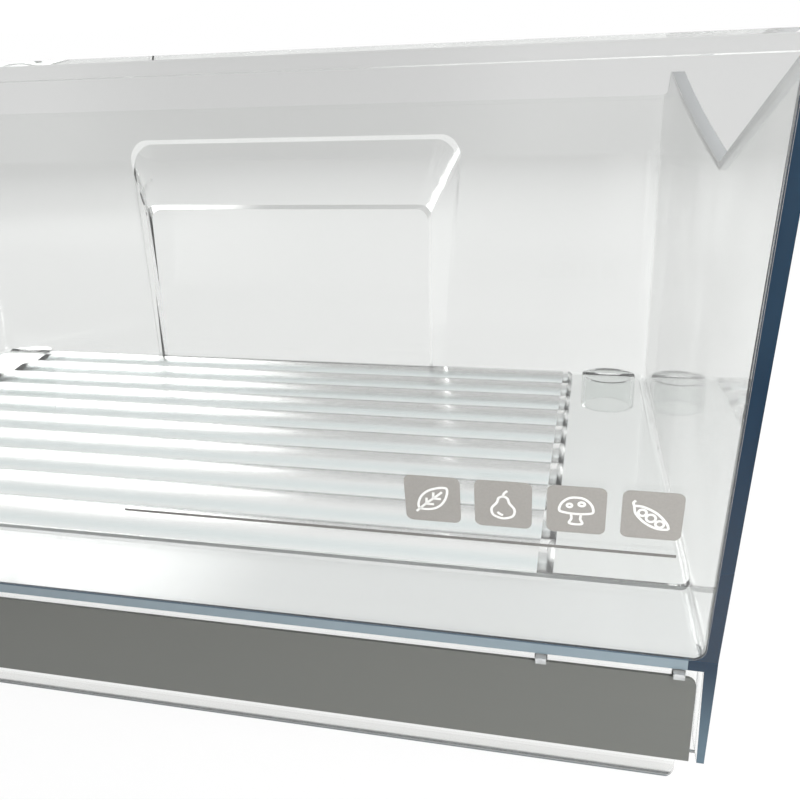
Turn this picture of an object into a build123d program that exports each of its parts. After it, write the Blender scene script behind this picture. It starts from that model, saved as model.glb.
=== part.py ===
from build123d import *
import math
import os

# Clear crisper drawer of a 60 cm refrigerator, in millimetres.
# X runs across the drawer, +Y runs from the front panel to the back wall, +Z is up.
# The origin is under the middle of the drawer, level with its lowest edge.

# ---------------------------------------------------------------- overall sizes
overall_width = 508.0        # across the front panel and the side rims
overall_depth = 380.0        # front panel's top edge to the back rim
front_height = 231.6         # lowest edge to the top of the front panel
front_lean = 12.85           # degrees, the window's top leans out over its foot

# ---------------------------------------------------------------- front panel
front_wall = 3.0             # window and apron
bead_height = 4.0            # bead behind the window's top edge
bead_depth = 4.0
band_width = 4.0             # corner posts, seen as dark uprights at both ends
band_depth = 5.0             # how far the corner posts reach back
apron_bottom = 14.4          # height of the apron's lower edge
fin_bottom = 10.6            # fins under the corner posts end a little lower
fin_depth = 15.0
fin_tip_width = 2.4          # each fin thins towards its lower end
fin_tip_inset = 0.9          # and its outer side draws in this much

# ---------------------------------------------------------------- tub
side_wall = 2.6
back_wall = 3.0
floor_wall = 3.0
strip_wall = 3.8             # floor thickness under the strip behind the window
floor_top = 51.6             # height of the flat floor inside
strip_drop = 1.6             # the strip behind the window lies this much lower
strip_width = 42.0           # from the window's foot back to the step
step_reach = 3.5             # the strip's thicker floor goes on this far under the step
side_taper = 3.5             # each side wall closes in this much towards the back
back_lean = 3.35             # degrees, the back wall opens towards the top
rear_corner_radius = 8.0     # inner radius of the rear upright corners
floor_fillet = 3.0           # inner radius where the walls meet the floor

# ---------------------------------------------------------------- waved floor
wave_pitch = 27.5
wave_height = 3.5
wave_front_flat = 1.0        # flat floor between the step and the first wave
aisle_width = 50.2           # flat floor between the waves and each side wall
wave_end_slope = 3.0         # the ends of the waves run out over this length
wave_web = 3.2               # upright webs that close the hollows under the waves

# ---------------------------------------------------------------- back wall panel
panel_depth = 17.0           # how far it stands in from the back wall's upper part
panel_half_width = 104.0     # across its flat face
panel_ramp_drop = 20.5       # back rim down to where the ramp meets the back wall
panel_ramp_height = 44.0     # from there down to the panel's flat face
panel_draft = 18.0           # the sides spread this much on each side
panel_corner = 8.0
panel_outer_corner = 20.0
recess_overrun = 5.0         # the recess behind the panel is cut this far past the back rim

# ---------------------------------------------------------------- rims
rim_front_drop = 2.0         # front panel's top down to the front end of each side rim
rim_dip_drop = 31.0          # and down to the rim's lowest point
rim_dip_reach = 112.0        # front panel's top edge back to that lowest point
rim_rise = 9.0               # the raised rear end stands this much over the front panel
rim_bow = 2.0                # the rising edge hangs this much below a straight line
rim_horn_reach = 62.0        # back rim forward to where the raised end begins
rim_horn_length = 7.0
rim_horn_slope = 12.0        # length of the ramp behind the raised end
back_rim_drop = 1.5          # front panel's top down to the back rim
side_lip = 1.2               # the rim stands out over the side walls' front ends
rear_lip = 5.55              # and over the back wall
rim_thickness = 2.6
rim_corner_radius = 16.0
rim_dip_radius = 5.0

# ---------------------------------------------------------------- rear feet
foot_diameter = 35.0
foot_height = 20.0           # below the underside of the floor
foot_wall = 2.5
foot_side_margin = 12.5      # from the rim's side to the foot
foot_rear_margin = 2.5       # from the back rim to the foot

# ---------------------------------------------------------------- grip trim and its carrier
trim_bottom = 11.8
trim_drop = 2.1              # underside of the strip down to the trim's upper edge
trim_thickness = 1.2
trim_margin = 6.0            # from the front panel's end to the trim's end
trim_corner = 3.2            # only the upper corners are round
carrier_wall = 2.4
carrier_margin = 9.7         # from the front panel's end to the carrier's end
carrier_drop = 3.1           # trim's upper edge down to the carrier's
carrier_corner = 4.5
carrier_edge_radius = 1.1
hook_margins = (1.9, 45.8)   # from the carrier's end to the middle of each hook
hook_width = 3.6
hook_height = 1.2
hook_nose = 0.6              # thickness of the nose in front of the trim
hook_overlap = 0.5           # the nose reaches this far down over the trim
hook_root = 2.0              # the hook's upright starts this far down the carrier

# ---------------------------------------------------------------- fits
post_gap = 0.2               # between the tub's side walls and the corner posts
bead_gap = 0.5               # between the bead's ends and the side walls
carrier_gap = 0.2            # between the apron and the carrier behind it
hook_gap = 0.3               # round the hooks in their slots and over the trim

# ---------------------------------------------------------------- values that follow
half_width = overall_width / 2
front_edge = -overall_depth / 2
back_edge = overall_depth / 2
lean_cos = math.cos(math.radians(front_lean))
lean_tan = math.tan(math.radians(front_lean))
post_half = half_width - band_width
tub_half = half_width - side_lip
floor_under = floor_top - floor_wall
strip_top = floor_top - strip_drop
strip_under = strip_top - strip_wall
back_rim_top = front_height - back_rim_drop
rim_top = front_height + rim_rise
trim_top = strip_under - trim_drop
trim_half = half_width - trim_margin
carrier_half = half_width - carrier_margin
carrier_top = trim_top - carrier_drop
hook_positions = [carrier_half - margin for margin in hook_margins]
foot_radius = foot_diameter / 2
foot_x = half_width - foot_side_margin - foot_radius
foot_y = back_edge - foot_rear_margin - foot_radius
wave_half_length = tub_half - side_wall - aisle_width
cut_margin = 20.0            # cutting shapes pass the drawer by this much
mould_top = rim_top + cut_margin
mould_front = front_edge - cut_margin
far = 2 * max(overall_width, overall_depth, front_height)


def window_y(z, depth=0.0):
    """Y of a face `depth` behind the leaning window's outer face, at height z."""
    return front_edge + (front_height - z) * lean_tan + depth / lean_cos


def back_y(z):
    """Y of the back wall's inner face at height z."""
    top_y = back_edge - rear_lip - back_wall
    return top_y - (back_rim_top - z) * math.tan(math.radians(back_lean))


knee = strip_top             # the window leans above this height, the apron hangs below it
apron_y = window_y(knee)
step_y = window_y(strip_top, front_wall) + strip_width
wave_front_y = step_y + wave_front_flat
wave_count = math.ceil((back_y(floor_top) - wave_front_y) / wave_pitch)


def prism_x(points, x_from, x_to):
    """Solid with a (y, z) outline, running along X."""
    face = make_face(Plane.YZ * Polyline(*points, close=True))
    return Pos(x_from, 0, 0) * extrude(face, amount=x_to - x_from, dir=(1, 0, 0))


def box_between(low, high):
    """Box from one corner to the opposite one."""
    size = [b - a for a, b in zip(low, high)]
    return Pos(*low) * Box(*size, align=(Align.MIN, Align.MIN, Align.MIN))


def skin_line(depth, z_low, z_high):
    """Side view of a surface `depth` behind the front: upright to the knee, then leaning."""
    bend = knee + depth * (1 / lean_cos - 1) / lean_tan
    points = []
    if z_low < bend:
        points.append((apron_y + depth, z_low))
        points.append((apron_y + depth, min(bend, z_high)))
    else:
        points.append((window_y(z_low, depth), z_low))
    if z_high > bend:
        points.append((window_y(z_high, depth), z_high))
    return points


def front_layer(z_low, z_high, near, depth, x_from, x_to):
    """Plate that follows the front, from `near` to `depth` behind its outer face."""
    outline = skin_line(near, z_low, z_high) + skin_line(depth, z_low, z_high)[::-1]
    return prism_x(outline, x_from, x_to)


def front_view(sketch):
    """Prism of an outline drawn in front view, long enough to cut the whole front."""
    return Pos(0, far / 2, 0) * extrude(Plane.XZ * sketch, amount=far)


def mirrored(shape):
    """The shape and its mirror image across the drawer's middle."""
    return shape + mirror(shape, about=Plane.YZ)


# ---------------------------------------------------------------- front panel
def corner_post():
    """Post at the right end of the window, with a fin that thins downwards below it."""
    post = front_layer(strip_under, front_height, 0, band_depth, post_half, half_width)
    outline = Polyline(
        (post_half, strip_under),
        (half_width, strip_under),
        (half_width - fin_tip_inset, fin_bottom),
        (half_width - fin_tip_inset - fin_tip_width, fin_bottom),
        close=True,
    )
    fin = front_layer(fin_bottom, strip_under, 0, fin_depth, post_half, half_width)
    return post + (fin & front_view(make_face(outline)))


def hook_slots():
    """Windows in the apron, just above the trim, for the carrier's hooks."""
    high = trim_top + hook_height + 2 * hook_gap
    half = hook_width / 2 + hook_gap
    slots = [
        front_layer(trim_top, high, -front_wall, 2 * front_wall, x - half, x + half)
        for x in hook_positions
    ]
    return mirrored(Compound(slots))


def front_panel():
    plate = front_layer(apron_bottom, front_height, 0, front_wall, -post_half, post_half)
    bead_reach = front_wall + bead_depth
    bead_bottom = front_height - bead_height
    bead_half = tub_half - side_wall - bead_gap
    bead = front_layer(bead_bottom, front_height, 0, bead_reach, -bead_half, bead_half)
    panel = plate + bead + mirrored(corner_post())
    return panel - hook_slots()


# ---------------------------------------------------------------- tub
def plan_outline(half_front, half_rear, rear_y, radius, z):
    """Plan of the moulding at height z, open to the front, with rounded rear corners."""
    corners = [
        (half_front, mould_front),
        (half_rear, rear_y),
        (-half_rear, rear_y),
        (-half_front, mould_front),
    ]
    face = make_face(Polyline(*corners, close=True))
    face = fillet(face.vertices().group_by(Axis.Y)[-1], radius)
    return Pos(0, 0, z) * face


def tub_block(z_low, inset):
    """Filled body of the tub from z_low upwards, `inset` (0 or 1) walls in from outside."""
    side = tub_half - inset * side_wall
    rear = (1 - inset) * back_wall
    radius = rear_corner_radius + rear
    levels = []
    for z in (z_low, mould_top):
        levels.append(plan_outline(side, side - side_taper, back_y(z) + rear, radius, z))
    return loft(levels, ruled=True)


def rounded_block(z_low, inset, radius):
    """The tub's filled body with its lower side and rear edges rounded."""
    block = tub_block(z_low, inset)
    lower = block.edges().group_by(Axis.Z)[0]
    front_edge_of_floor = lower.sort_by(Axis.Y)[0]
    return fillet([edge for edge in lower if edge != front_edge_of_floor], radius)


def stepped(main, strip, step):
    """`main` behind the step and the lower `strip` ahead of it."""
    ahead = box_between((-far, -far, -far), (far, step, far))
    return main + (strip & ahead)


def inner_space():
    """Everything inside the tub's walls."""
    main = rounded_block(floor_top, 1, floor_fillet)
    strip = rounded_block(strip_top, 1, floor_fillet)
    return stepped(main, strip, step_y)


def outer_body():
    """The tub filled solid, with the thicker floor of the strip at its front."""
    main = rounded_block(floor_under, 0, floor_fillet + floor_wall)
    strip = rounded_block(strip_under, 0, floor_fillet + floor_wall)
    return stepped(main, strip, step_y + step_reach)


def rim_edges(drop):
    """Side view of the rim's top, lowered by `drop`: dip, rising arc, horn, level back."""
    dip = (front_edge + rim_dip_reach, front_height - rim_dip_drop - drop)
    rim_front = (front_edge, front_height - rim_front_drop - drop)
    slope = (rim_front[1] - dip[1]) / (dip[0] - rim_front[0])
    start = (mould_front, dip[1] + slope * (dip[0] - mould_front))
    horn = (back_edge - rim_horn_reach, rim_top - drop)
    middle = ((dip[0] + horn[0]) / 2, (dip[1] + horn[1]) / 2 - rim_bow)
    horn_end = horn[0] + rim_horn_length
    rest = [
        horn,
        (horn_end, horn[1]),
        (horn_end + rim_horn_slope, back_rim_top - drop),
        (far, back_rim_top - drop),
        (far, far),
        (mould_front, far),
        start,
    ]
    return [Line(start, dip), ThreePointArc(dip, middle, horn), Polyline(*rest)], dip


def above_rim(drop):
    """Everything above the rim line lowered by `drop`, rounded at the dip."""
    edges, dip = rim_edges(drop)
    face = make_face(Plane.YZ * Curve(edges))
    corner = face.vertices().sort_by_distance((0, *dip))[0]
    return extrude(fillet(corner, rim_dip_radius), amount=far, both=True)


def rim_lip():
    """Outward lip along the tops of the side walls and the back wall."""
    outline = plan_outline(half_width, half_width, back_edge, rim_corner_radius, 0)
    lip = extrude(outline, amount=mould_top)
    return (lip & above_rim(rim_thickness)) - above_rim(0)


def back_panel(inset):
    """Raised panel of the back wall; the recess behind it is the same form, inset by a wall."""
    ramp_top = back_rim_top - panel_ramp_drop
    near_y = back_y(ramp_top) - panel_depth + inset
    low = strip_under - cut_margin
    sections = []
    for y, corner in ((near_y, panel_corner), (back_edge + recess_overrun, panel_outer_corner)):
        share = (y - near_y) / panel_depth
        half = panel_half_width + share * panel_draft - inset
        top = ramp_top - (1 - share) * panel_ramp_height - inset
        face = Plane.XZ * Pos(0, (top + low) / 2) * Rectangle(2 * half, top - low)
        face = fillet(face.vertices().group_by(Axis.Z)[-1], corner)
        sections.append(Pos(0, y, 0) * face)
    return loft(sections, ruled=True)


def wave_row(z_base):
    """Side view of the waves: a row of arcs that stand on z_base."""
    arcs = []
    for i in range(wave_count):
        start = wave_front_y + i * wave_pitch
        middle = (start + wave_pitch / 2, z_base + wave_height)
        arcs.append(ThreePointArc((start, z_base), middle, (start + wave_pitch, z_base)))
    return arcs


def waves():
    """The waves with the floor below them, sloping down at their ends."""
    end_y = wave_front_y + wave_count * wave_pitch
    under = Polyline((end_y, floor_top), (end_y, floor_under), (wave_front_y, floor_under),
                     (wave_front_y, floor_top))
    face = make_face(Plane.YZ * Curve([*wave_row(floor_top), under]))
    row = extrude(face, amount=wave_half_length, both=True)
    crest_half = wave_half_length - wave_end_slope
    crest = floor_top + wave_height
    outline = Polyline(
        (-wave_half_length, floor_under),
        (wave_half_length, floor_under),
        (wave_half_length, floor_top),
        (crest_half, crest),
        (-crest_half, crest),
        (-wave_half_length, floor_top),
        close=True,
    )
    return row & front_view(make_face(outline))


def wave_hollows():
    """The undersides of the waves, arc by arc, between the end webs."""
    hollows = []
    for arc in wave_row(floor_under):
        chord = Line(arc @ 1, arc @ 0)
        face = make_face(Plane.YZ * Curve([arc, chord]))
        hollows.append(extrude(face, amount=wave_half_length - wave_end_slope - wave_web, both=True))
    return Compound(hollows)


def rear_foot():
    """Right rear foot: a tube closed at floor level and open below."""
    low = floor_under - foot_height
    up = (Align.CENTER, Align.CENTER, Align.MIN)
    post = Pos(foot_x, foot_y, low) * Cylinder(foot_radius, floor_top - low, align=up)
    bore = Pos(foot_x, foot_y, low) * Cylinder(foot_radius - foot_wall, foot_height, align=up)
    return post, bore


def front_clearance():
    """The window's place at the tub's front, and the corner posts' place beside it."""
    ahead = front_layer(-far, far, -far, front_wall, -far, far)
    reach = band_depth + post_gap
    beside = front_layer(-far, far, -far, reach, post_half - post_gap, far)
    return ahead + mirrored(beside)


def drawer_tub():
    outer = outer_body()
    inner = inner_space()
    body = outer - inner
    body += back_panel(0) & outer
    body += waves() & outer
    body -= wave_hollows()
    body -= back_panel(back_wall)
    body -= above_rim(0)
    body += rim_lip() - inner
    post, bore = rear_foot()
    body = body + mirrored(post) - mirrored(bore)
    return body - front_clearance()


# ---------------------------------------------------------------- grip trim and its carrier
def grip_trim():
    """Metal-look strip on the front of the apron."""
    height = trim_top - trim_bottom
    outline = Pos(0, trim_bottom + height / 2) * Rectangle(2 * trim_half, height)
    outline = fillet(outline.vertices().group_by(Axis.Y)[-1], trim_corner)
    sheet = front_layer(trim_bottom, trim_top, -trim_thickness, 0, -half_width, half_width)
    return sheet & front_view(outline)


def grip_carrier():
    """Clear plate behind the apron, hooked through it over the trim's upper edge."""
    near = front_wall + carrier_gap
    depth = near + carrier_wall
    plate = front_layer(0, carrier_top, near, depth, -carrier_half, carrier_half)
    plate = fillet(plate.edges().filter_by(Axis.X).group_by(Axis.Z)[0], carrier_edge_radius)
    outline = Pos(0, carrier_top / 2) * Rectangle(2 * carrier_half, carrier_top)
    outline = fillet(outline.vertices().group_by(Axis.Y)[0], carrier_corner)
    carrier = plate & front_view(outline)
    hook_low = trim_top + hook_gap
    hook_top = hook_low + hook_height
    nose_far = -trim_thickness - hook_gap
    nose_near = nose_far - hook_nose
    for x in hook_positions:
        left = x - hook_width / 2
        right = x + hook_width / 2
        upright = front_layer(carrier_top - hook_root, hook_top, near, depth, left, right)
        arm = front_layer(hook_low, hook_top, nose_near, depth, left, right)
        nose = front_layer(trim_top - hook_overlap, hook_top, nose_near, nose_far, left, right)
        carrier += mirrored(upright + arm + nose)
    return carrier


# ---------------------------------------------------------------- output
nodes = {
    "drawer_tub": drawer_tub,
    "front_panel": front_panel,
    "grip_trim": grip_trim,
    "grip_carrier": grip_carrier,
}

os.makedirs("parts", exist_ok=True)
for name, build in nodes.items():
    shape = build()
    export_step(shape, f"parts/{name}.step")
    box = shape.bounding_box()
    print(name, [round(v, 2) for v in (*box.min, *box.max)])
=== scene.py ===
import math

import bpy
from mathutils import Matrix, Vector


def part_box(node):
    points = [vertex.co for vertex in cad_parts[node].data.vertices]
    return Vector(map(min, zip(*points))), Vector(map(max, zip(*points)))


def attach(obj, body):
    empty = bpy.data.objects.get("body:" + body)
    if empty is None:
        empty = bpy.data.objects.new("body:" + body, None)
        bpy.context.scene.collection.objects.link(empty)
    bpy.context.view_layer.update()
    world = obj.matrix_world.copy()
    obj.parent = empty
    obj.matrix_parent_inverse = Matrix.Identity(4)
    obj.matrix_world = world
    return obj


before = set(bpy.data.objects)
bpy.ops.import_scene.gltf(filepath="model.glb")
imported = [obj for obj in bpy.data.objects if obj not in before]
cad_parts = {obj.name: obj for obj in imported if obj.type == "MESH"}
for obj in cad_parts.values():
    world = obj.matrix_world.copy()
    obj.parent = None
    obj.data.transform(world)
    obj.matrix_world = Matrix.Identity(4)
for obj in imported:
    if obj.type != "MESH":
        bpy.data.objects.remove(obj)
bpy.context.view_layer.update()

BODY = "root"
X, Y, Z = 0, 1, 2

# ---------------------------------------------------------------- camera
IMAGE_SIZE = 800.0                        # pixels, both ways
SENSOR = 36.0                             # millimetres
FOCAL_PIXELS = 826.75
CAMERA_PLACE = Vector((0.208, -0.388, 0.2136))
CAMERA_RIGHT = Vector((0.97516, 0.22046, -0.02127))
CAMERA_UP = Vector((-0.04911, 0.30887, 0.94984))
CAMERA_CLIP = (0.01, 20.0)

# ---------------------------------------------------------------- sizes of the CAD model, in metres
PANEL_LOW, PANEL_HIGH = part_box("front_panel")
WINDOW_LEAN = math.radians(12.85)
WINDOW_UP = Vector((0, -math.sin(WINDOW_LEAN), math.cos(WINDOW_LEAN)))
WINDOW_OUT = Vector((0, -math.cos(WINDOW_LEAN), -math.sin(WINDOW_LEAN)))
KNEE = 0.050                              # the window leans above this height
POST_IN = 0.250                           # inner side of the corner posts
CORNER_RADIUS = 0.005                     # rounding between a post and the floor strip
FIN_FADE = (0.052, 0.012)                 # the painted shade on the posts turns from navy to steel on the way down
SLOT_Y = (-0.1484, -0.1456)               # the hooks' slots in the apron
SLOT_Z = (0.0441, 0.0460)
STRIP_UNDER = 0.0462                      # underside of the floor strip behind the window
STRIP_BACK = -0.1035                      # the strip ends here
STEP_Y = (-0.1055, -0.1015)               # small step up from the strip to the waves
STEP_TOP = 0.0517
FLOOR_TOP = 0.0520
WAVE_HALF = 0.200                         # half width of the waved field
WAVE_Y = (-0.1025, 0.172)
WAVE_Z = (0.0480, 0.0560)
WAVE_PITCH = 0.0275
RIM_SIDE = 0.2470                         # the side walls' upper edges lie outside this,
RIM_LOW = 0.19                            # above this
BACK_PANEL_HALF = 0.125                   # the back wall's inward panel lies inside this,
BACK_PANEL_FRONT = 0.145                  # behind this
LIP_EDGE = (0.0022, 0.0006)               # painted shade: the lip's lower edge darkens on the way down
LIP_TOP = 0.006
HOOK_LOW = 0.0435                         # the carrier's hooks are above this


def add_camera():
    data = bpy.data.cameras.new("camera")
    data.sensor_width = SENSOR
    data.lens = FOCAL_PIXELS * SENSOR / IMAGE_SIZE
    data.clip_start, data.clip_end = CAMERA_CLIP
    camera = bpy.data.objects.new("camera", data)
    back = CAMERA_RIGHT.cross(CAMERA_UP)
    axes = Matrix((CAMERA_RIGHT, CAMERA_UP, back)).transposed()
    camera.matrix_world = Matrix.Translation(CAMERA_PLACE) @ axes.to_4x4()
    bpy.context.scene.collection.objects.link(camera)
    bpy.context.scene.camera = camera


# ---------------------------------------------------------------- node helpers
class Tree:
    """Short names for the nodes of one material or world. A mask is 1 inside and 0 outside."""

    def __init__(self, tree):
        self.tree = tree

    def node(self, kind, **settings):
        made = self.tree.nodes.new(kind)
        for name, value in settings.items():
            setattr(made, name, value)
        return made

    def put(self, socket, value):
        if isinstance(value, bpy.types.NodeSocket):
            self.tree.links.new(value, socket)
        else:
            socket.default_value = value

    def math(self, operation, *values, clamp=False):
        made = self.node("ShaderNodeMath", operation=operation, use_clamp=clamp)
        for socket, value in zip(made.inputs, values):
            self.put(socket, value)
        return made.outputs[0]

    def product(self, first, *others):
        for value in others:
            first = self.math("MULTIPLY", first, value)
        return first

    def largest(self, first, *others):
        for value in others:
            first = self.math("MAXIMUM", first, value)
        return first

    def size(self, value):
        return self.math("ABSOLUTE", value)

    def length(self, a, b):
        squares = self.math("ADD", self.math("POWER", a, 2.0), self.math("POWER", b, 2.0))
        return self.math("SQRT", squares)

    def above(self, value, limit):
        return self.math("GREATER_THAN", value, limit)

    def below(self, value, limit):
        return self.math("LESS_THAN", value, limit)

    def between(self, value, limits):
        return self.product(self.above(value, limits[0]), self.below(value, limits[1]))

    def step(self, value, low, high, to_low=0.0, to_high=1.0):
        """Smooth ramp of a value from low to high, where low may be the larger number."""
        made = self.node("ShaderNodeMapRange", interpolation_type="SMOOTHSTEP")
        for socket, v in zip(made.inputs, (value, low, high, to_low, to_high)):
            self.put(socket, v)
        return made.outputs[0]

    def mix(self, share, a, b):
        """Colour a where the share is 0, and b where it is 1."""
        made = self.node("ShaderNodeMix", data_type="RGBA")
        for name, value in (("Factor", share), ("A", a), ("B", b)):
            socket = [s for s in made.inputs if s.name == name and s.enabled][0]
            if name != "Factor" and not isinstance(value, bpy.types.NodeSocket):
                value = (*value, 1)
            self.put(socket, value)
        return [s for s in made.outputs if s.enabled][0]

    def axes(self, vector):
        made = self.node("ShaderNodeSeparateXYZ")
        self.put(made.inputs[0], vector)
        return made.outputs

    def place(self):
        return self.node("ShaderNodeNewGeometry").outputs["Position"]

    def normal(self, axis):
        return self.axes(self.node("ShaderNodeNewGeometry").outputs["True Normal"])[axis]

    def facing(self, axis, sign):
        """Mask of the faces that look along one axis, or against it."""
        return self.step(self.product(self.normal(axis), sign), 0.75, 0.9)

    def noise(self, scale, detail=2.0, stretch=(1, 1, 1)):
        mapping = self.node("ShaderNodeMapping")
        self.put(mapping.inputs["Vector"], self.place())
        mapping.inputs["Scale"].default_value = stretch
        made = self.node("ShaderNodeTexNoise")
        self.put(made.inputs["Vector"], mapping.outputs[0])
        made.inputs["Scale"].default_value = scale
        made.inputs["Detail"].default_value = detail
        return made.outputs[0]

    def bump(self, height, strength, distance):
        made = self.node("ShaderNodeBump")
        self.put(made.inputs["Height"], height)
        made.inputs["Strength"].default_value = strength
        made.inputs["Distance"].default_value = distance
        return made.outputs[0]


def new_material(name):
    material = bpy.data.materials.new(name)
    material.use_nodes = True
    return material, Tree(material.node_tree), material.node_tree.nodes["Principled BSDF"].inputs


def dress(node, material):
    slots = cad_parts[node].data.materials
    slots.clear()
    slots.append(material)


# ---------------------------------------------------------------- clear plastic
CLEAR_IOR = 1.57
CLEAR_SHARE = 0.985                       # the rest is a faint haze in the plastic
CLEAR_TINT = (0.970, 0.980, 0.970)
CLEAR_TINT_HIGH = (0.988, 0.993, 0.988)
FRONT_ROUGHNESS = 0.012
TUB_ROUGHNESS = 0.05
CARRIER_ROUGHNESS = 0.02
FLOOR_ROUGHNESS = 0.12
# painted shade and painted light on the clear plastic: their colours, and how much of each place
# they cover
# painted shade: the posts' navy and steel stand in for light piped in the plastic, which looks dark
# end-on
EDGE_SHADE_NAVY = (0.003, 0.018, 0.040)
EDGE_SHADE_NAVY_HIGH = (0.008, 0.027, 0.052)
EDGE_SHADE_STEEL = (0.075, 0.12, 0.155)
# painted shade: the floor strip's front end and the darker line along its top
LEDGE_SHADE = (0.18, 0.232, 0.265)
LEDGE_SHADE_HIGH = (0.205, 0.258, 0.288)
LEDGE_SHADE_LINE = (0.06, 0.095, 0.13)
LEDGE_LINE_WIDTH = 0.0004
# painted shade on the lip's lower edge
LIP_EDGE_SHADE = (0.065, 0.09, 0.10)
# painted shade on the side walls' upper edges
RIM_SHADE_GREY, RIM_SHARE = (0.32, 0.36, 0.39), 0.65
# painted shade on the small step behind the floor strip
STEP_SHADE_GREY, STEP_SHARE = (0.50, 0.53, 0.53), 0.8
# painted light: a pale haze that lightens the slots, the back panel's sides and the hooks
PAINTED_LIGHT_HAZE = (0.55, 0.59, 0.60)
SLOT_SHARE, BACK_PANEL_SHARE, HOOK_SHARE = 0.6, 0.4, 0.35
# tints of clear places; the wave band is painted shade on the waves' rising sides
LIP_TINT = (0.845, 0.85, 0.835)
STRIP_TINT = (0.825, 0.845, 0.84)
AISLE_TINT = (0.89, 0.91, 0.90)
WAVE_SHADE_BAND = (0.81, 0.875, 0.875)
BORDER = 0.0001                           # half width of the soft borders between colours


def clear_base(name, roughness):
    """Clear moulded plastic with a faint waviness, and a little uneven polish."""
    material, tree, inputs = new_material(name)
    inputs["IOR"].default_value = CLEAR_IOR
    inputs["Transmission Weight"].default_value = CLEAR_SHARE
    polish = tree.step(tree.noise(14.0), 0.35, 0.7, roughness * 0.6, roughness * 1.5)
    tree.put(inputs["Roughness"], polish)
    tint = tree.mix(tree.noise(9.0), CLEAR_TINT, CLEAR_TINT_HIGH)
    waviness = tree.noise(18.0, detail=1.0)
    tree.put(inputs["Normal"], tree.bump(waviness, strength=0.08, distance=0.0004))
    return material, tree, inputs, polish, tint


def cover(tree, inputs, tint, mask, colour):
    """Where the mask is 1, the plastic shows the colour and not what is behind it."""
    tree.put(inputs["Base Color"], tree.mix(mask, tint, colour))
    clear = tree.math("SUBTRACT", CLEAR_SHARE, mask, clamp=True)
    tree.put(inputs["Transmission Weight"], clear)


def clear_front():
    """Window and apron. Light piped in the plastic leaves its edges dark, seen end-on; that dark
    look is painted on as navy and steel.
    """
    material, tree, inputs, _, tint = clear_base("clear_front", FRONT_ROUGHNESS)
    x, y, z = tree.axes(tree.place())
    side = tree.size(x)
    front = tree.facing(Y, -1.0)
    # painted shade on the posts' front faces, with a rounded corner above the floor strip
    post = tree.step(side, POST_IN - BORDER, POST_IN + BORDER)
    dx = tree.math("SUBTRACT", side, POST_IN - CORNER_RADIUS)
    dz = tree.math("SUBTRACT", z, KNEE + CORNER_RADIUS)
    rounding = tree.step(tree.length(dx, dz), CORNER_RADIUS - BORDER, CORNER_RADIUS + BORDER)
    corner = tree.product(tree.above(dx, 0.0), tree.below(dz, 0.0), rounding,
                          tree.above(z, STRIP_UNDER))
    shape = tree.largest(post, corner)
    streaks = tree.noise(60.0, detail=3.0, stretch=(1.0, 1.0, 0.12))
    colour = tree.mix(tree.step(streaks, 0.4, 0.75), EDGE_SHADE_NAVY, EDGE_SHADE_NAVY_HIGH)
    colour = tree.mix(tree.step(z, *FIN_FADE), colour, EDGE_SHADE_STEEL)
    # painted shade for the floor strip's front end seen through the apron, with a darker painted
    # line along its top
    strip = tree.product(tree.between(z, (STRIP_UNDER, KNEE + LEDGE_LINE_WIDTH)), front,
                         tree.math("SUBTRACT", 1.0, shape))
    cloud = tree.noise(30.0, stretch=(1.0, 1.0, 6.0))
    line = tree.step(z, KNEE - LEDGE_LINE_WIDTH, KNEE - BORDER)
    ledge = tree.mix(line, tree.mix(cloud, LEDGE_SHADE, LEDGE_SHADE_HIGH), LEDGE_SHADE_LINE)
    colour = tree.mix(strip, colour, ledge)
    # painted light: a pale haze on the hooks' slots
    slot = tree.product(tree.between(z, SLOT_Z), tree.between(y, SLOT_Y))
    colour = tree.mix(slot, colour, PAINTED_LIGHT_HAZE)
    mask = tree.largest(tree.product(shape, front), strip, tree.product(slot, SLOT_SHARE))
    cover(tree, inputs, tint, mask, colour)
    return material


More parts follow.
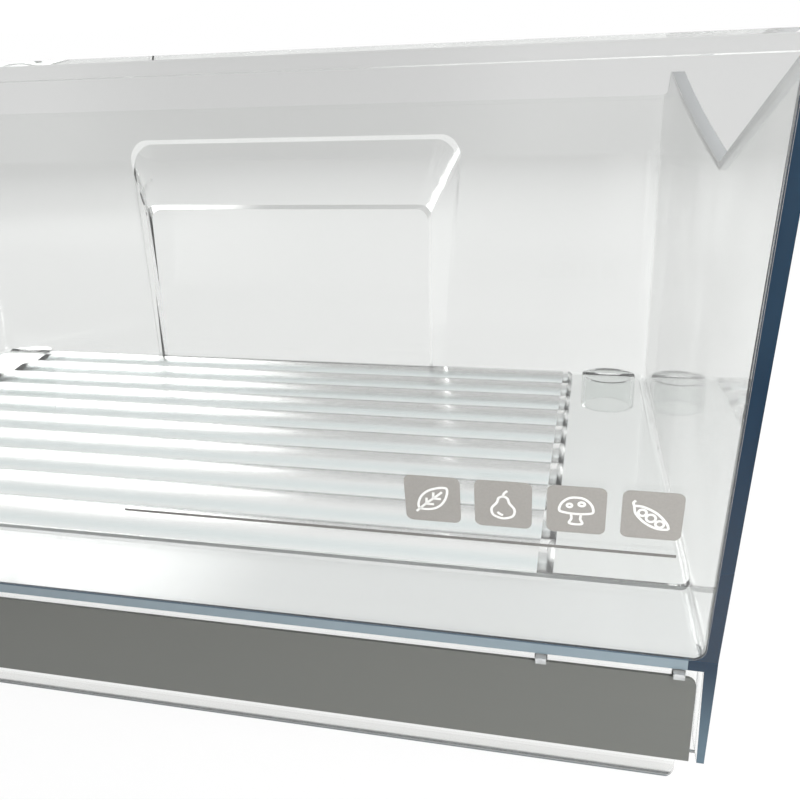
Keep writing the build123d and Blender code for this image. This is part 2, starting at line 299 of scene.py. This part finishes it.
def clear_tub():
    """Floor, walls and feet. The floor is a little greyer and less polished than the walls."""
    material, tree, inputs, polish, tint = clear_base("clear_tub", TUB_ROUGHNESS)
    x, y, z = tree.axes(tree.place())
    side = tree.size(x)
    # painted shade on the small step behind the floor strip
    step = tree.product(tree.between(y, STEP_Y), tree.between(z, (STRIP_UNDER, STEP_TOP)),
                        tree.facing(Y, -1.0))
    # painted shade on the upper edges of the side walls
    level = tree.step(tree.size(tree.normal(Z)), 0.3, 0.5)
    rim = tree.product(tree.above(side, RIM_SIDE), level, tree.above(z, RIM_LOW))
    # painted light: a pale haze on the sides of the back wall's panel
    sideways = tree.largest(tree.facing(X, 1.0), tree.facing(X, -1.0))
    flank = tree.product(sideways, tree.below(side, BACK_PANEL_HALF),
                         tree.above(y, BACK_PANEL_FRONT))
    mask = tree.largest(tree.product(step, STEP_SHARE), tree.product(rim, RIM_SHARE),
                        tree.product(flank, BACK_PANEL_SHARE))
    colour = tree.mix(flank, tree.mix(step, RIM_SHADE_GREY, STEP_SHADE_GREY), PAINTED_LIGHT_HAZE)
    # the strip, the aisles beside the waves, and painted shade as blue-grey bands on the waves'
    # rising sides
    floor = tree.below(z, FLOOR_TOP)
    strip = tree.product(floor, tree.below(y, STRIP_BACK))
    aisle = tree.product(floor, tree.above(side, WAVE_HALF))
    tint = tree.mix(strip, tree.mix(aisle, tint, AISLE_TINT), STRIP_TINT)
    waves = tree.product(tree.below(side, WAVE_HALF), tree.between(z, WAVE_Z),
                         tree.between(y, WAVE_Y))
    along = tree.math("DIVIDE", tree.math("SUBTRACT", y, WAVE_Y[0]), WAVE_PITCH)
    phase = tree.math("FRACT", along)
    rising = tree.product(tree.step(phase, 0.0, 0.14), tree.step(phase, 0.40, 0.18))
    tint = tree.mix(tree.product(rising, waves), tint, WAVE_SHADE_BAND)
    dull = tree.product(tree.largest(waves, strip), FLOOR_ROUGHNESS)
    tree.put(inputs["Roughness"], tree.largest(polish, dull))
    cover(tree, inputs, tint, mask, colour)
    return material


def clear_carrier():
    """Plate behind the apron, with the lip below the strip and the hooks above it; painted shade
    darkens the lip's lower edge, and painted light, a pale haze, covers the hooks.
    """
    material, tree, inputs, _, tint = clear_base("clear_carrier", CARRIER_ROUGHNESS)
    _, _, z = tree.axes(tree.place())
    # painted shade on the lip's lower edge
    edge = tree.step(z, *LIP_EDGE)
    tint = tree.mix(tree.below(z, LIP_TOP), tint, LIP_TINT)
    # painted light: a pale haze on the hooks
    hook = tree.above(z, HOOK_LOW)
    mask = tree.largest(edge, tree.product(hook, HOOK_SHARE))
    cover(tree, inputs, tint, mask, tree.mix(hook, LIP_EDGE_SHADE, PAINTED_LIGHT_HAZE))
    return material


# ---------------------------------------------------------------- trim
TRIM_LOW = (0.164, 0.170, 0.159)
TRIM_HIGH = (0.175, 0.180, 0.168)
TRIM_CLOUD = (0.190, 0.191, 0.174)
TRIM_ROUGHNESS = (0.42, 0.54)
TRIM_METALLIC = 0.55


def trim_metallic():
    """Satin warm grey foil look, with fine lines along the strip."""
    material, tree, inputs = new_material("trim_metallic")
    lines = tree.noise(2200.0, detail=3.0, stretch=(0.03, 1.0, 1.0))
    cloud = tree.noise(16.0, stretch=(0.4, 1.0, 1.0))
    base = tree.mix(tree.step(lines, 0.3, 0.7), TRIM_LOW, TRIM_HIGH)
    base = tree.mix(tree.step(cloud, 0.35, 0.75, 0.0, 0.3), base, TRIM_CLOUD)
    tree.put(inputs["Base Color"], base)
    tree.put(inputs["Roughness"], tree.step(lines, 0.25, 0.75, *TRIM_ROUGHNESS))
    tree.put(inputs["Normal"], tree.bump(lines, strength=0.12, distance=0.0001))
    inputs["Metallic"].default_value = TRIM_METALLIC
    return material


# ---------------------------------------------------------------- printed line and pictograms
PRINT_THICKNESS = 0.00008
PRINT_LIFT = 0.00002                      # from the window to the print's back
DRAWING_LIFT = PRINT_LIFT + PRINT_THICKNESS * 1.2
PLATE_SIZE = 0.0172
PLATE_CORNER = 0.0022
PLATE_Z = 0.1058
PLATE_CENTRES = (0.1646, 0.1861, 0.2076, 0.2291)
LINE_Z = 0.0916
LINE_WIDTH = 0.00105
LINE_ENDS = (0.0566, 0.2371)
LINE_PARTS = 48
STROKE = 0.00075
MM_PER_M = 1000
PLATE_INK = ((0.277, 0.266, 0.249), (0.295, 0.284, 0.265))
PALE_INK = ((0.72, 0.72, 0.70), (0.77, 0.77, 0.75))
LINE_INK = ((0.15, 0.146, 0.138), (0.175, 0.170, 0.16))
INK_ROUGHNESS = (0.5, 0.65)


def print_ink(name, low, high):
    """Screen-printed ink: matt, with a faint mottle."""
    material, tree, inputs = new_material(name)
    mottle = tree.noise(1500.0, detail=3.0)
    tree.put(inputs["Base Color"], tree.mix(tree.step(mottle, 0.35, 0.65), low, high))
    tree.put(inputs["Roughness"], tree.step(mottle, 0.3, 0.7, *INK_ROUGHNESS))
    tree.put(inputs["Normal"], tree.bump(mottle, strength=0.1, distance=0.00003))
    return material


def add_flat(name, outlines, centre, z, lift, material):
    """Thin printed shapes on the window from closed flat outlines, lists of (across, up)."""
    y = PANEL_LOW.y + (PANEL_HIGH.z - z) * math.tan(WINDOW_LEAN)
    base = Vector((centre, y, z)) + WINDOW_OUT * lift
    points = []
    faces = []
    for outline in outlines:
        n = len(outline)
        first = len(points)
        for out in (0.0, PRINT_THICKNESS):
            points += [base + Vector((a, 0, 0)) + WINDOW_UP * b + WINDOW_OUT * out
                       for a, b in outline]
        faces.append(tuple(range(first + n, first + 2 * n)))
        faces.append(tuple(range(first + n - 1, first - 1, -1)))
        for i in range(n):
            back, back_next = first + i, first + (i + 1) % n
            faces.append((back, back_next, back_next + n, back + n))
    mesh = bpy.data.meshes.new(name)
    mesh.from_pydata(points, [], faces)
    mesh.materials.append(material)
    piece = bpy.data.objects.new(name, mesh)
    bpy.context.scene.collection.objects.link(piece)
    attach(piece, BODY)


def rounded_square(size, radius, steps=6):
    points = []
    h = size / 2 - radius
    for cx, cy, start in ((h, h, 0), (-h, h, 90), (-h, -h, 180), (h, -h, 270)):
        points += arc(cx, cy, radius, radius, start, start + 90, steps)
    return points


def ribbon(points, width, closed=False):
    """Quads along a smooth line, which share their ends, so that the line has no gaps."""
    n = len(points)
    left, right = [], []
    for i, (x, y) in enumerate(points):
        before = points[(i - 1) % n] if closed or i > 0 else (x, y)
        after = points[(i + 1) % n] if closed or i < n - 1 else (x, y)
        dx, dy = after[0] - before[0], after[1] - before[1]
        length = math.hypot(dx, dy)
        nx, ny = -dy / length * width / 2, dx / length * width / 2
        left.append((x + nx, y + ny))
        right.append((x - nx, y - ny))
    runs = n if closed else n - 1
    return [[right[i], right[(i + 1) % n], left[(i + 1) % n], left[i]] for i in range(runs)]


def arc(cx, cy, rx, ry, start, end, steps=16):
    angles = [math.radians(start + (end - start) * i / steps) for i in range(steps + 1)]
    return [(cx + rx * math.cos(a), cy + ry * math.sin(a)) for a in angles]


def ring(cx, cy, rx, ry, steps):
    """Closed stroke around an ellipse."""
    return arc(cx, cy, rx, ry, 0, 360, steps)[:-1], True


def curve(points, steps=10, closed=False):
    """Smooth line through the points (Catmull-Rom)."""
    n = len(points)
    found = []
    runs = n if closed else n - 1
    for i in range(runs):
        p = [points[(i + k) % n] if closed else points[min(max(i + k, 0), n - 1)]
             for k in (-1, 0, 1, 2)]
        for s in range(steps):
            t = s / steps
            found.append(tuple(
                0.5 * (2 * p[1][k] + (p[2][k] - p[0][k]) * t
                       + (2 * p[0][k] - 5 * p[1][k] + 4 * p[2][k] - p[3][k]) * t * t
                       + (3 * p[1][k] - p[0][k] - 3 * p[2][k] + p[3][k]) * t ** 3)
                for k in (0, 1)))
    if not closed:
        found.append(points[-1])
    return found


# Each drawing is a list of strokes, (points in millimetres, closed or not).
def leaf():
    rim = curve([(-4.2, -3.6), (-3.6, 0.6), (-0.4, 3.6), (4.4, 4.4), (3.7, -0.2), (0.6, -3.4)],
                closed=True)
    rib = curve([(-5.2, -5.0), (-2.2, -1.9), (1.0, 1.0), (3.0, 2.9)])
    strokes = [(rim, True), (rib, False)]
    for x in (-2.0, 0.2):
        strokes.append(([(x, x + 0.1), (x + 0.2, x + 2.4)], False))
        strokes.append(([(x, x + 0.1), (x + 2.4, x + 0.1)], False))
    return strokes


def pear():
    body = [(0, 3.0), (1.3, 2.4), (1.9, 0.6), (3.4, -1.6), (3.0, -4.0), (0.9, -5.1),
            (-0.9, -5.1), (-3.0, -4.0), (-3.4, -1.6), (-1.9, 0.6), (-1.3, 2.4)]
    stalk = curve([(0, 3.0), (0.3, 4.2), (1.3, 5.2)])
    shine = arc(0.3, -2.3, 2.0, 1.7, 200, 262, 8)
    return [(curve(body, closed=True), True), (stalk, False), (shine, False)]


def mushroom():
    cap = curve([(-4.9, -0.3), (-4.2, 2.4), (-1.8, 4.4), (1.8, 4.4), (4.2, 2.4), (4.9, -0.3),
                 (3.4, -1.1), (0, -1.4), (-3.4, -1.1)], closed=True)
    stem = curve([(-1.5, -1.2), (-1.3, -3.2), (-1.9, -4.9), (0, -5.3),
                  (1.9, -4.9), (1.3, -3.2), (1.5, -1.2)])
    spots = [ring(-2.0, 1.6, 0.75, 0.65, 12), ring(1.5, 2.3, 0.9, 0.7, 12)]
    return [(cap, True), (stem, False)] + spots


def pea_pod():
    upper = curve([(-5.2, 3.2), (-2.6, 3.0), (1.2, 1.0), (4.2, -2.4), (4.9, -4.6)])
    lower = curve([(-5.2, 3.2), (-4.6, 0.4), (-1.8, -2.8), (1.8, -4.6), (4.9, -4.6)])
    tail = curve([(-5.2, 3.2), (-5.5, 4.3), (-4.9, 5.1)])
    peas = [ring(x, y, r, r, 14)
            for x, y, r in ((-2.8, 0.9, 1.15), (-0.3, -0.9, 1.35), (2.3, -2.9, 1.2))]
    return [(upper, False), (lower, False), (tail, False)] + peas


def add_print():
    plate_ink = print_ink("warm_grey_ink", *PLATE_INK)
    pale_ink = print_ink("pale_ink", *PALE_INK)
    line_ink = print_ink("line_ink", *LINE_INK)
    middle = sum(LINE_ENDS) / 2
    half = (LINE_ENDS[1] - LINE_ENDS[0]) / 2
    h = LINE_WIDTH / 2
    low = [(-half + 2 * half * i / LINE_PARTS, -h) for i in range(LINE_PARTS + 1)]
    high = [(a, h) for a, _ in reversed(low)]
    add_flat("printed_line", [low + high], middle, LINE_Z, PRINT_LIFT, line_ink)
    plate = rounded_square(PLATE_SIZE, PLATE_CORNER)
    drawings = (("leaf", leaf), ("pear", pear), ("mushroom", mushroom), ("pea_pod", pea_pod))
    for (name, draw), x in zip(drawings, PLATE_CENTRES):
        add_flat(f"print_plate_{name}", [plate], x, PLATE_Z, PRINT_LIFT, plate_ink)
        quads = []
        for points, closed in draw():
            quads += ribbon([(a / MM_PER_M, b / MM_PER_M) for a, b in points], STROKE, closed)
        add_flat(f"print_drawing_{name}", quads, x, PLATE_Z, DRAWING_LIFT, pale_ink)


# ---------------------------------------------------------------- stage and light
FLOOR_HALF = 6.0
FLOOR_LOW, FLOOR_HIGH = (0.86, 0.86, 0.86), (0.90, 0.90, 0.90)
FLOOR_MATT = 0.9
FLOOR_GLOW = 0.86                         # share of the white that no shadow darkens
FLOOR_WHITE = 1.03                        # level to the camera, to match the white backdrop
# The plastic shows the floor darker far away and in front of the drawer, and lighter on the right:
# where that begins, where it is complete, and the level there
HORIZON = 0.73
FAR = (0.5, 6.0)
NEAR, NEAR_LEVEL = (-0.19, -0.34), 0.25
RIGHT, RIGHT_LEVEL = (0.15, 0.40), 1.08
# and the room darker overhead and behind the camera
ROOM_UP, ROOM_TOP = (0.0, 0.5), 0.60
ROOM_FRONT, ROOM_FRONT_LEVEL = (-0.9, 0.35), 0.60
ROOM_PLAIN = 0.50                         # the room as a lamp
# soft glows of the room: direction, inner and outer half angle in degrees, brightness
GLOWS = (
    ((-0.57, 0.765, 0.30), 6.0, 17.0, 3.9),
    ((0.1, -0.2, 0.97), 8.0, 26.0, 1.8),
    ((-0.329, 0.944, 0.033), 2.0, 16.0, -0.08),
)
GLOW_LOW = (0.08, 0.18)                   # bright glows end above the horizon
# name, place, aim, size, power, seen in reflections or not
LAMPS = (
    ("window_left", (-1.15, 1.55, 0.95), (0.0, 0.0, 0.05), (0.9, 0.8), 12.0, False),
    ("softbox_right", (0.66, -0.60, 0.40), (0.24, -0.12, 0.03), (0.40, 0.40), 6.8, True),
    ("softbox_front", (-0.6, -1.6, 1.2), (0.0, -0.1, 0.05), (1.2, 0.8), 1.2, False),
)


def seen_rays(tree):
    """Masks of the rays that show the background (direct, mirrored or through the plastic),
    and of the direct ones."""
    path = tree.node("ShaderNodeLightPath").outputs
    camera = path["Is Camera Ray"]
    return tree.largest(camera, path["Is Glossy Ray"], path["Is Transmission Ray"]), camera


def add_floor():
    """White floor that keeps a soft shadow."""
    material, tree, inputs = new_material("white_floor")
    grain = tree.noise(40.0, detail=4.0)
    tree.put(inputs["Base Color"], tree.mix(grain, FLOOR_LOW, FLOOR_HIGH))
    inputs["Roughness"].default_value = FLOOR_MATT
    inputs["Specular IOR Level"].default_value = 0.0
    seen, camera = seen_rays(tree)
    x, y, _ = tree.axes(tree.place())
    far = tree.step(tree.length(x, y), *FAR, 1.0, HORIZON)
    near = tree.step(y, *NEAR, 1.0, NEAR_LEVEL)
    right = tree.step(x, *RIGHT, 1.0, RIGHT_LEVEL)
    glow = tree.node("ShaderNodeEmission")
    level = tree.largest(tree.product(far, near, right), tree.product(camera, FLOOR_WHITE))
    tree.put(glow.inputs["Strength"], level)
    mixed = tree.node("ShaderNodeMixShader")
    shader = tree.tree.nodes["Principled BSDF"].outputs[0]
    share = tree.product(seen, FLOOR_GLOW)
    for socket, value in zip(mixed.inputs, (share, shader, glow.outputs[0])):
        tree.put(socket, value)
    out = [n for n in tree.tree.nodes if n.type == "OUTPUT_MATERIAL"][0]
    tree.put(out.inputs["Surface"], mixed.outputs[0])

    h = FLOOR_HALF
    mesh = bpy.data.meshes.new("floor")
    mesh.from_pydata([(-h, -h, 0.0), (h, -h, 0.0), (h, h, 0.0), (-h, h, 0.0)], [], [(0, 1, 2, 3)])
    mesh.materials.append(material)
    plane = bpy.data.objects.new("floor", mesh)
    bpy.context.scene.collection.objects.link(plane)


def add_world():
    """White to the camera, a soft room to reflections, and plain white light."""
    world = bpy.data.worlds.new("studio")
    bpy.context.scene.world = world
    world.use_nodes = True
    tree = Tree(world.node_tree)
    shade = world.node_tree.nodes["Background"]
    seen, camera = seen_rays(tree)
    direction = tree.node("ShaderNodeTexCoord").outputs["Generated"]
    _, y, z = tree.axes(direction)
    up = tree.step(z, *ROOM_UP, HORIZON, ROOM_TOP)
    front = tree.step(y, *ROOM_FRONT, ROOM_FRONT_LEVEL, 1.0)
    room = tree.product(up, front)
    for aim, inner, outer, level in GLOWS:
        cosine = tree.node("ShaderNodeVectorMath", operation="DOT_PRODUCT")
        tree.put(cosine.inputs[0], direction)
        cosine.inputs[1].default_value = Vector(aim).normalized()
        glow = tree.step(cosine.outputs["Value"], math.cos(math.radians(outer)),
                         math.cos(math.radians(inner)), 0.0, level)
        if level > 0:
            glow = tree.product(glow, tree.step(z, *GLOW_LOW))
        room = tree.math("ADD", room, glow)
    shown = tree.product(seen, tree.largest(room, camera))
    plain = tree.product(tree.math("SUBTRACT", 1.0, seen), ROOM_PLAIN)
    tree.put(shade.inputs["Strength"], tree.math("ADD", shown, plain))
    shade.inputs["Color"].default_value = (1, 1, 1, 1)


def add_lamp(name, place, aim, size, power, mirrored):
    """Soft lamp that the camera doesn't see."""
    data = bpy.data.lights.new(name, "AREA")
    data.shape = "RECTANGLE"
    data.size, data.size_y = size
    data.energy = power
    lamp = bpy.data.objects.new(name, data)
    lamp.location = place
    lamp.rotation_mode = "QUATERNION"
    lamp.rotation_quaternion = (Vector(aim) - Vector(place)).to_track_quat("-Z", "Y")
    lamp.visible_camera = False
    lamp.visible_glossy = mirrored
    lamp.visible_transmission = mirrored
    bpy.context.scene.collection.objects.link(lamp)


add_camera()
dress("drawer_tub", clear_tub())
dress("front_panel", clear_front())
dress("grip_carrier", clear_carrier())
dress("grip_trim", trim_metallic())
add_print()
add_floor()
add_world()
for lamp in LAMPS:
    add_lamp(*lamp)
bpy.context.scene.view_settings.view_transform = "Standard"
